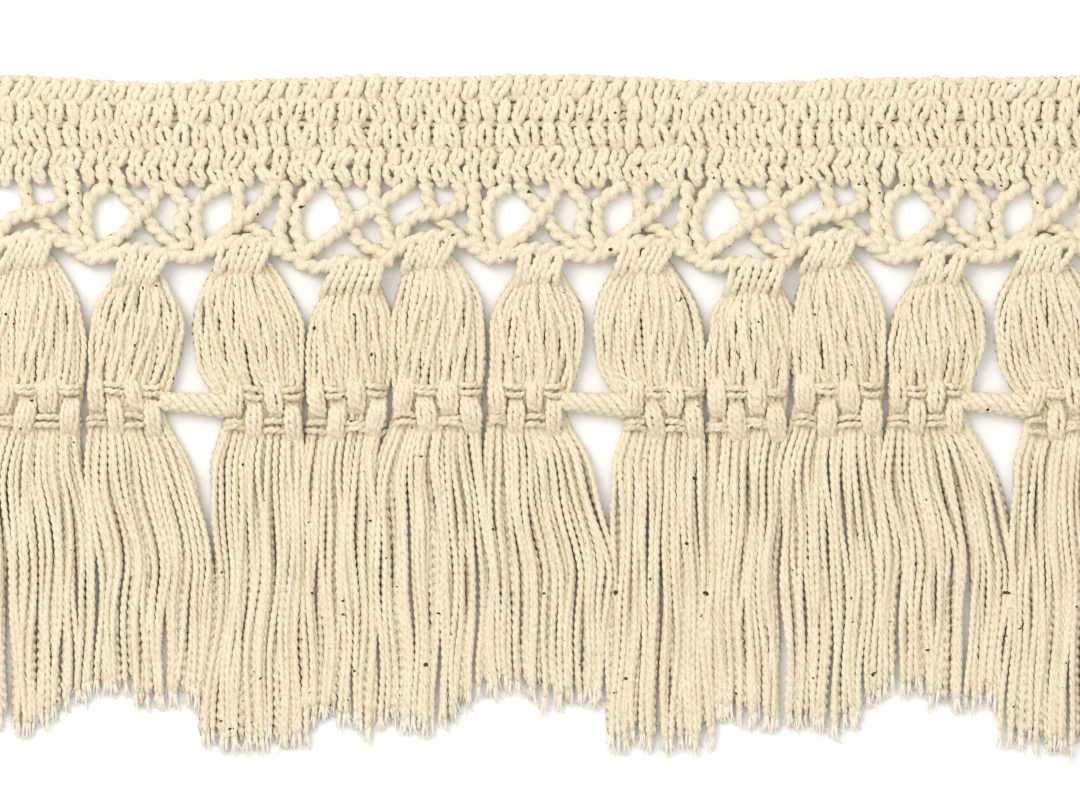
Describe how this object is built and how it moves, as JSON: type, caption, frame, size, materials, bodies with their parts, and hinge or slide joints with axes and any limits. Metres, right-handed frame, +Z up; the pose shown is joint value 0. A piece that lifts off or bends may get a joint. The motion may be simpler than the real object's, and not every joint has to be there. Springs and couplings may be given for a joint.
{
  "type": "knotted cotton fringe trim",
  "caption": "Cream cotton fringe trim with a crocheted heading, an openwork knotted net, tied and woven bundles and a loose cut fringe, lying flat.",
  "frame": {"origin": "middle of the heading's flat back face, where it lies on the surface", "axes": "+X along the trim, +Y from the fringe towards the heading's top edge, +Z up out of the trim's face"},
  "size_m": [0.2255, 0.1323, 0.0052],
  "materials": {
    "heading": "matte cotton",
    "net": "matte cotton",
    "bundle": "matte cotton",
    "bridge": "matte cotton"
  },
  "bodies": {
    "root": {"heading_band": "heading", "net_cords": "net", "bundle_01_a": "bundle", "bundle_02_b": "bundle", "bundle_03_c": "bundle", "bundle_04_d": "bundle", "bundle_05_a": "bundle", "bundle_06_b": "bundle", "bundle_07_c": "bundle", "bundle_08_d": "bundle", "bundle_09_a": "bundle", "bundle_10_b": "bundle", "bundle_11_c": "bundle", "tie_bridge_1": "bridge", "tie_bridge_2": "bridge", "tie_bridge_3": "bridge"}
  },
  "joints": []
}
